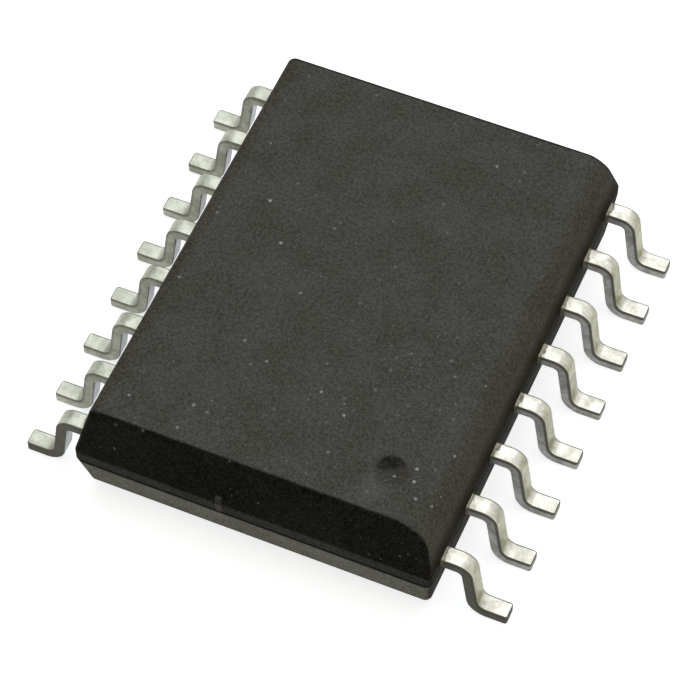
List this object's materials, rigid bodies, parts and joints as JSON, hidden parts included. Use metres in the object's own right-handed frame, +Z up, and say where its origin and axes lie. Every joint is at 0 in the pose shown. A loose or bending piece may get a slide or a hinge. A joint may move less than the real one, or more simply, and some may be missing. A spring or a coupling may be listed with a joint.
{
  "type": "soic chip",
  "caption": "Flat black moulded chip with a row of bent gull-wing leads along each long side, for surface mounting.",
  "frame": {"origin": "middle of the outline, on the plane that the soles of the leads stand on", "axes": "+Z up through the top face, +X across the two rows of leads, +Y along the rows; lead 1 is at +X, -Y"},
  "size_m": [0.0104, 0.0104, 0.0026],
  "materials": {
    "mould_compound": "dull dark grey filled epoxy with pale dust specks",
    "tin_plating": "matte tin plating, creamy and slightly uneven",
    "bare_frame_metal": "bare rolled copper alloy, satin",
    "silver_epoxy": "matte silver-filled adhesive",
    "silicon": "polished grey silicon",
    "bond_wire_metal": "bright drawn wire"
  },
  "bodies": {
    "root": {"moulded_body": "mould_compound", "die_pad": "bare_frame_metal", "die_attach": "silver_epoxy", "silicon_die": "silicon", "lead_01": "tin_plating", "lead_02": "tin_plating", "lead_03": "tin_plating", "lead_04": "tin_plating", "lead_05": "tin_plating", "lead_06": "tin_plating", "lead_07": "tin_plating", "lead_08": "tin_plating", "lead_09": "tin_plating", "lead_10": "tin_plating", "lead_11": "tin_plating", "lead_12": "tin_plating", "lead_13": "tin_plating", "lead_14": "tin_plating", "lead_15": "tin_plating", "lead_16": "tin_plating", "bond_wire_01": "bond_wire_metal", "bond_wire_02": "bond_wire_metal", "bond_wire_03": "bond_wire_metal", "bond_wire_04": "bond_wire_metal", "bond_wire_05": "bond_wire_metal", "bond_wire_06": "bond_wire_metal", "bond_wire_07": "bond_wire_metal", "bond_wire_08": "bond_wire_metal", "bond_wire_09": "bond_wire_metal", "bond_wire_10": "bond_wire_metal", "bond_wire_11": "bond_wire_metal", "bond_wire_12": "bond_wire_metal", "bond_wire_13": "bond_wire_metal", "bond_wire_14": "bond_wire_metal", "bond_wire_15": "bond_wire_metal", "bond_wire_16": "bond_wire_metal"}
  },
  "joints": []
}
